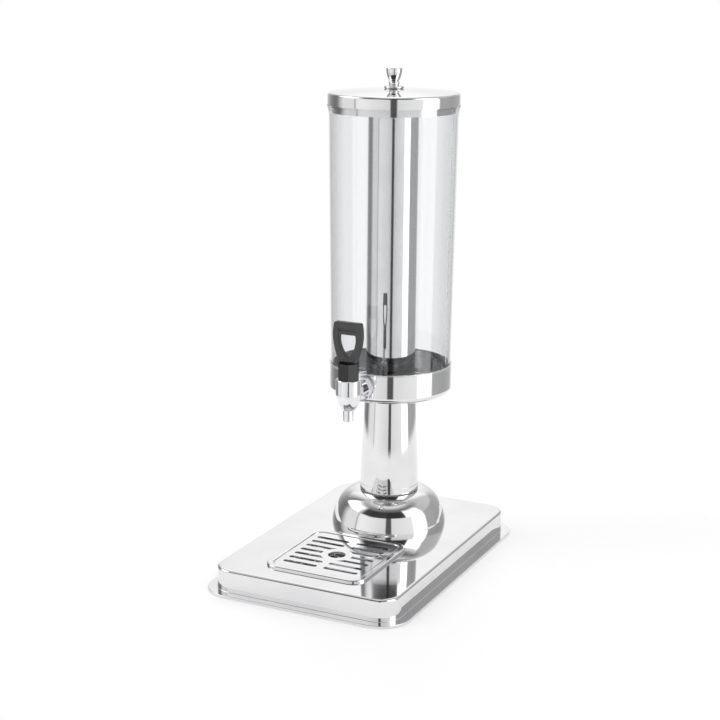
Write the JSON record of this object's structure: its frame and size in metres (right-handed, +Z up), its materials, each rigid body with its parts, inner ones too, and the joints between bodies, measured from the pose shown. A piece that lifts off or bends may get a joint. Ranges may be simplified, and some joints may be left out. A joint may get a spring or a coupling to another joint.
{
  "type": "beer tower dispenser",
  "caption": "Counter-top drink tower: clear tank in a steel cup on a tapered column, ice tube, lift-off lid, lever tap, and a base with a drip tray and grate.",
  "frame": {"origin": "on the table, under the centre of the base", "axes": "+Z up, -Y towards the tap and the drip tray, +X to the right of someone who faces the tap"},
  "size_m": [0.2232, 0.3322, 0.5153],
  "materials": {
    "steel_polished": "mirror polished stainless steel",
    "steel_satin": "satin stainless steel",
    "tap_chrome": "chrome plated",
    "clear_plastic": "clear, glossy",
    "black_plastic": "fine satin",
    "black_rubber": "matte",
    "clear_silicone": "milky silicone"
  },
  "bodies": {
    "tower": {"base_shell": "steel_polished", "base_stiffener": "steel_satin", "foot_studs": "steel_satin", "rubber_feet": "black_rubber", "pedestal_dome": "steel_polished", "column_gasket": "clear_silicone", "column_foot": "steel_polished", "column_tube": "steel_polished", "column_head": "steel_polished", "tie_rod": "steel_satin", "tie_rod_washer": "steel_satin", "tie_rod_nut": "steel_satin", "tank_cup": "steel_polished", "cup_gasket": "clear_silicone", "tank": "clear_plastic", "tank_floor_seal": "clear_silicone", "ice_tube_base": "steel_satin", "ice_tube": "steel_polished", "ice_tube_collar": "steel_polished", "tap_body": "tap_chrome", "tap_spout": "tap_chrome", "tap_nut": "tap_chrome", "tap_outer_seal": "clear_silicone", "tap_inner_seal": "clear_silicone", "tap_lock_nut": "tap_chrome", "tap_bonnet": "black_plastic"},
    "drip_tray": {"drip_tray": "steel_polished"},
    "drip_grate": {"drip_grate": "steel_satin"},
    "lid": {"lid_shell": "steel_polished", "lid_skirt": "steel_polished", "lid_knob": "steel_polished", "knob_washer": "steel_satin", "knob_screw": "steel_satin"},
    "valve_stem": {"valve_stem": "steel_satin", "valve_disc": "clear_silicone", "valve_spring": "steel_satin", "handle_pin": "steel_satin"},
    "tap_handle": {"tap_handle": "black_plastic"}
  },
  "joints": [
    {"name": "lid_lift", "type": "slide", "parent": "tower", "child": "lid", "axis": [0, 0, 1], "range_m": [0, 0.1]},
    {"name": "tray_lift", "type": "slide", "parent": "tower", "child": "drip_tray", "axis": [0, 0, 1], "range_m": [0, 0.04]},
    {"name": "grate_lift", "type": "slide", "parent": "drip_tray", "child": "drip_grate", "axis": [0, 0, 1], "range_m": [0, 0.03]},
    {"name": "stem_lift", "type": "slide", "parent": "tower", "child": "valve_stem", "axis": [0, 0, 1], "range_m": [0, 0.00236], "deforming": ["valve_spring"]},
    {"name": "handle_tilt", "type": "hinge", "parent": "valve_stem", "child": "tap_handle", "pos_m": [0, -0.045, 0.2288], "axis": [1, 0, 0], "range_deg": [0, 45], "stiffness_Nm_per_rad": 0.0054, "springref_deg": -76.2}
  ],
  "couplings": [
    {"joint": "handle_tilt", "follows": "stem_lift", "rad_per_m": 333.33}
  ]
}
